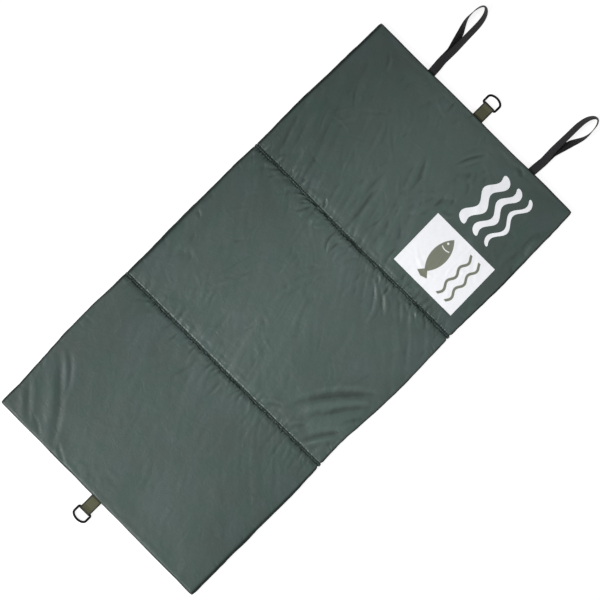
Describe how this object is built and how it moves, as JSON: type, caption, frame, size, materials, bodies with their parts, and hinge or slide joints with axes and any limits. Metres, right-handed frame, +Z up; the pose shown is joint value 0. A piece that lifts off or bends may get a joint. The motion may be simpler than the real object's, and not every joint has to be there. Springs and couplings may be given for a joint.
{
  "type": "unhooking mat",
  "caption": "Folding padded mat of coated nylon over foam, to lay a landed fish on, with webbing carry loops at one end and a D-ring on a webbing tab at each end.",
  "frame": {"origin": "middle of the mat's flat underside, halfway along its length and width, on the middle panel", "axes": "+X along the mat to the end with the handles, +Y across it to the left-hand long side, +Z up out of the top cover"},
  "size_m": [1.217, 0.508, 0.0172],
  "materials": {
    "cover_nylon": "satin coated nylon",
    "fold_nylon": "satin coated nylon, puckered",
    "foam": "matt closed-cell foam",
    "black_webbing": "woven webbing",
    "olive_webbing": "woven webbing",
    "dark_wire": "black plated"
  },
  "bodies": {
    "middle_panel": {"top_cover_middle": "cover_nylon", "bottom_cover_middle": "cover_nylon", "foam_pad_middle": "foam", "fold_web_head": "fold_nylon", "fold_web_tail": "fold_nylon"},
    "head_panel": {"top_cover_head": "cover_nylon", "bottom_cover_head": "cover_nylon", "foam_pad_head": "foam"},
    "tail_panel": {"top_cover_tail": "cover_nylon", "bottom_cover_tail": "cover_nylon", "foam_pad_tail": "foam"},
    "handle_left": {"handle_left": "black_webbing"},
    "handle_right": {"handle_right": "black_webbing"},
    "ring_tab_head": {"ring_tab_head": "olive_webbing"},
    "ring_tab_tail": {"ring_tab_tail": "olive_webbing"},
    "d_ring_head": {"d_ring_head": "dark_wire"},
    "d_ring_tail": {"d_ring_tail": "dark_wire"}
  },
  "joints": [
    {"name": "head_fold", "type": "hinge", "parent": "middle_panel", "child": "head_panel", "pos_m": [0.175, 0, 0.0162], "axis": [0, -1, 0], "range_deg": [0, 180], "deforming": ["fold_web_head"]},
    {"name": "tail_fold", "type": "hinge", "parent": "middle_panel", "child": "tail_panel", "pos_m": [-0.1635, 0, -0.0004], "axis": [0, -1, 0], "range_deg": [0, 180], "deforming": ["fold_web_tail"]},
    {"name": "handle_left_swing", "type": "hinge", "parent": "head_panel", "child": "handle_left", "pos_m": [0.50195, 0.1195, 0.0065], "axis": [0, 1, 0], "range_deg": [-100, 100]},
    {"name": "handle_right_swing", "type": "hinge", "parent": "head_panel", "child": "handle_right", "pos_m": [0.50195, -0.1425, 0.0065], "axis": [0, 1, 0], "range_deg": [-100, 100]},
    {"name": "head_tab_swing", "type": "hinge", "parent": "head_panel", "child": "ring_tab_head", "pos_m": [0.5015, -0.0005, 0.0065], "axis": [0, 1, 0], "range_deg": [-100, 90]},
    {"name": "tail_tab_swing", "type": "hinge", "parent": "tail_panel", "child": "ring_tab_tail", "pos_m": [-0.5015, 0.0008, 0.0065], "axis": [0, 1, 0], "range_deg": [-90, 100]},
    {"name": "head_ring_swing", "type": "hinge", "parent": "ring_tab_head", "child": "d_ring_head", "pos_m": [0.53184, -0.0005, 0.0034], "axis": [0, -1, 0], "range_deg": [-165, 165]},
    {"name": "tail_ring_swing", "type": "hinge", "parent": "ring_tab_tail", "child": "d_ring_tail", "pos_m": [-0.53184, 0.0008, 0.0034], "axis": [0, -1, 0], "range_deg": [-165, 165]}
  ]
}
